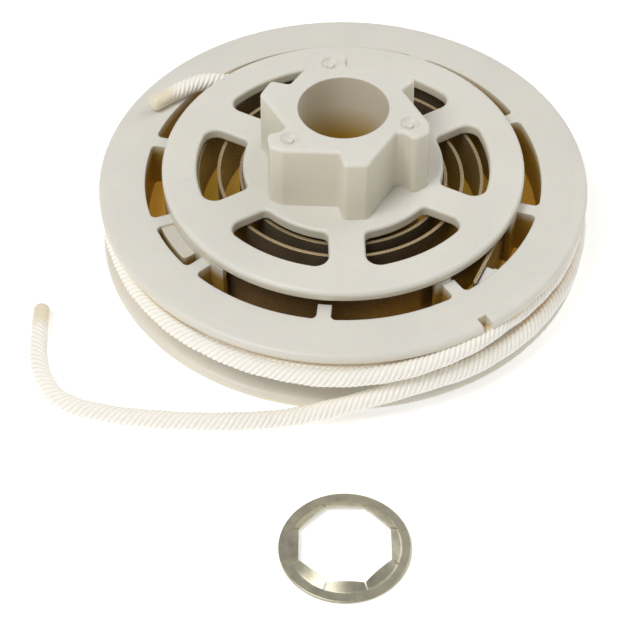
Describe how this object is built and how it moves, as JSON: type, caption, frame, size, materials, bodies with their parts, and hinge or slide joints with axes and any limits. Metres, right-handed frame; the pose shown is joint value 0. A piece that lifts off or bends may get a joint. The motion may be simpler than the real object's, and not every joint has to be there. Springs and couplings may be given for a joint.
{
  "type": "recoil starter pulley",
  "caption": "Flanged rope pulley with a flat rewind spring under a windowed keeper disk with a star boss, wound with twisted rope, and a loose push-on ring.",
  "frame": {"origin": "on the pulley's axis, at the lower end of the post bore, which is also the plane of the lower flange that the part lies on", "axes": "+Z along the post bore towards the star boss; +X to the right and -Y towards the free rope end and the loose ring, when seen from the front"},
  "size_m": [0.1242, 0.1589, 0.0375],
  "materials": {
    "pulley_nylon": "satin natural nylon, slightly translucent, warm off-white",
    "keeper_nylon": "satin natural nylon, slightly translucent, warm off-white",
    "spring_steel": "blued-brown spring steel with bright rolled edges",
    "rope_nylon": "bright white twisted nylon, ends melted cream",
    "plated_steel": "zinc-plated, satin",
    "pawl_steel": "hardened, dark satin",
    "ring_steel": "oiled spring steel, olive grey, satin"
  },
  "bodies": {
    "pulley": {"rope_pulley": "pulley_nylon", "rewind_spring": "spring_steel", "thrust_washer": "plated_steel", "rope_winding": "rope_nylon", "rope_anchor_run": "rope_nylon", "rope_free_run": "rope_nylon", "pawl_pin_1": "plated_steel", "pawl_pin_2": "plated_steel", "pawl_spring_1": "spring_steel", "pawl_spring_2": "spring_steel", "guide_screw_1": "plated_steel", "guide_screw_2": "plated_steel"},
    "keeper": {"keeper_hub": "keeper_nylon"},
    "guide": {"pawl_guide": "plated_steel"},
    "pawl_a": {"pawl_1": "pawl_steel"},
    "pawl_b": {"pawl_2": "pawl_steel"},
    "loose_ring": {"retaining_ring": "ring_steel"}
  },
  "joints": [
    {"name": "keeper_turn", "type": "hinge", "parent": "pulley", "child": "keeper", "pos_m": [0, 0, 0.021], "axis": [0, 0, 1], "range_deg": [0, 1530], "stiffness_Nm_per_rad": 0.01, "deforming": ["rewind_spring"]},
    {"name": "guide_turn", "type": "hinge", "parent": "pulley", "child": "guide", "pos_m": [0, 0, 0.002], "axis": [0, 0, 1], "range_deg": [0, 20], "stiffness_Nm_per_rad": 0.002, "deforming": ["pawl_spring_1", "pawl_spring_2"]},
    {"name": "pawl_1_swing", "type": "hinge", "parent": "pulley", "child": "pawl_a", "pos_m": [0, 0.024, 0.0035], "axis": [0, 0, 1], "range_deg": [0, 20]},
    {"name": "pawl_2_swing", "type": "hinge", "parent": "pulley", "child": "pawl_b", "pos_m": [0, -0.024, 0.0035], "axis": [0, 0, 1], "range_deg": [0, 20]},
    {"name": "ring_lift", "type": "slide", "parent": "pulley", "child": "loose_ring", "axis": [0, 0, 1], "range_m": [0, 0.06]}
  ],
  "couplings": [
    {"joint": "pawl_1_swing", "follows": "guide_turn", "ratio": 1},
    {"joint": "pawl_2_swing", "follows": "guide_turn", "ratio": 1}
  ]
}
